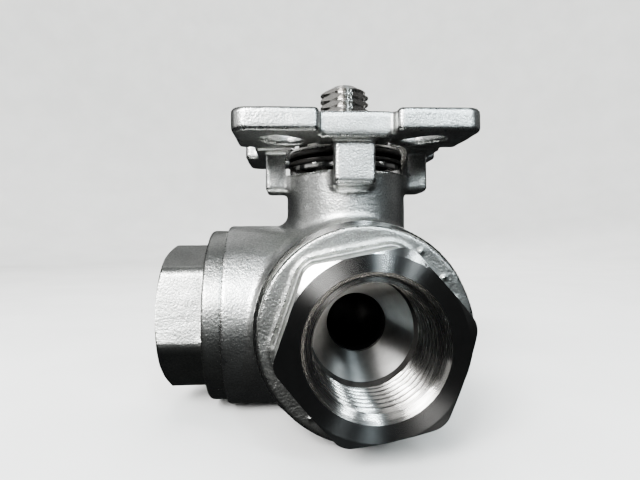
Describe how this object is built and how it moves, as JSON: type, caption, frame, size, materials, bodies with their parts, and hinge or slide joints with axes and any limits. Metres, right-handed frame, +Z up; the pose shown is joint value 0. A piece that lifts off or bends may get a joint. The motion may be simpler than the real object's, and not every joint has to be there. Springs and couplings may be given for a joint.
{
  "type": "three-way ball valve",
  "caption": "T-shaped ball valve with screwed hexagon end caps, an L-port ball, and a square drive stem rising through a square actuator pad on columns.",
  "frame": {"origin": "centre of the stem's top end face, on the stem axis", "axes": "+Z up the stem, out of its end; -Y out of the front port, +Y out of the rear port, -X out of the side port"},
  "size_m": [0.0609, 0.0764, 0.0684],
  "materials": {
    "cast_body": "investment-cast stainless steel, bead blasted, fine grain",
    "cast_caps": "investment-cast stainless steel with turned end face, thread and cone",
    "turned_stem": "bright turned stainless steel",
    "polished_ball": "polished stainless steel",
    "spring_steel": "rolled spring steel, dull",
    "sheet_steel": "pressed stainless sheet",
    "ptfe": "waxy white PTFE",
    "seal_rubber": "matt black fluoro rubber",
    "carbon_ptfe": "carbon-filled PTFE, dull black"
  },
  "bodies": {
    "housing": {"body": "cast_body", "end_cap_front": "cast_caps", "end_cap_rear": "cast_caps", "end_cap_side": "cast_caps", "cap_gasket_front": "ptfe", "cap_gasket_rear": "ptfe", "cap_gasket_side": "ptfe", "seat_front": "carbon_ptfe", "seat_rear": "carbon_ptfe", "seat_side": "carbon_ptfe", "seat_blind": "carbon_ptfe", "stem_thrust_washer": "ptfe", "packing_ring_lower": "carbon_ptfe", "packing_ring_middle": "carbon_ptfe", "packing_ring_upper": "carbon_ptfe", "gland_follower": "turned_stem"},
    "rotor": {"ball": "polished_ball", "stem": "turned_stem", "stem_o_ring": "seal_rubber", "disc_spring_lower": "spring_steel", "disc_spring_upper": "spring_steel", "lock_washer": "sheet_steel", "stem_nut": "turned_stem"}
  },
  "joints": [
    {"name": "stem_turn", "type": "hinge", "parent": "housing", "child": "rotor", "pos_m": [0, 0, 0], "axis": [0, 0, 1], "continuous": true}
  ]
}
